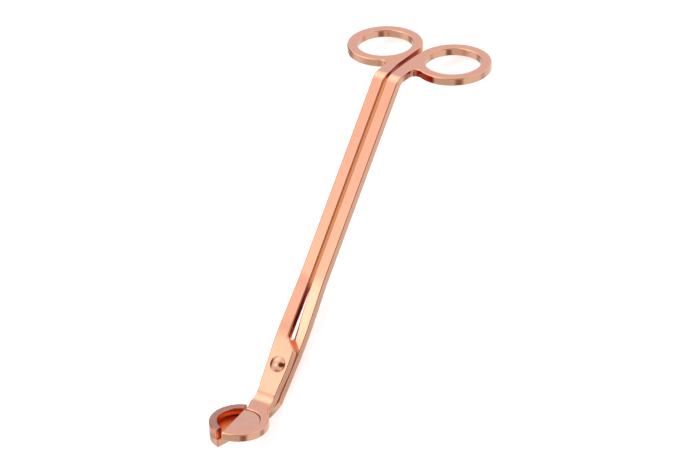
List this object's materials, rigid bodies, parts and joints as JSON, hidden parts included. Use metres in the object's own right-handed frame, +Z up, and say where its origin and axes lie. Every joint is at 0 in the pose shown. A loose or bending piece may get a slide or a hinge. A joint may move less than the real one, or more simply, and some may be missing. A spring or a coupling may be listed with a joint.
{
  "type": "wick trimmer",
  "caption": "Long-handled candle wick trimmer with finger rings, a riveted pivot and angled round jaws that cut and catch the trimmed wick.",
  "frame": {"origin": "under the middle of the closed trimmer as it lies on a table, on the table surface", "axes": "+Y from the jaws to the finger rings along the length, +Z up off the table, +X to the right with the tray jaw on the left"},
  "size_m": [0.0564, 0.1722, 0.0239],
  "materials": {
    "polished_plate": "polished rose gold plating on steel",
    "blade": "satin rose gold plating on steel",
    "rivet": "polished rose gold plating on steel"
  },
  "bodies": {
    "lower_half": {"lower_lever": "polished_plate", "tray_blade": "blade", "tray_wall": "polished_plate", "pivot_rivet": "rivet"},
    "upper_half": {"upper_lever": "polished_plate", "upper_blade": "blade"}
  },
  "joints": [
    {"name": "jaw_pivot", "type": "hinge", "parent": "lower_half", "child": "upper_half", "pos_m": [0, -0.04848, 0.00506], "axis": [0, -0.1622, 0.9868], "range_deg": [0, 32]}
  ]
}
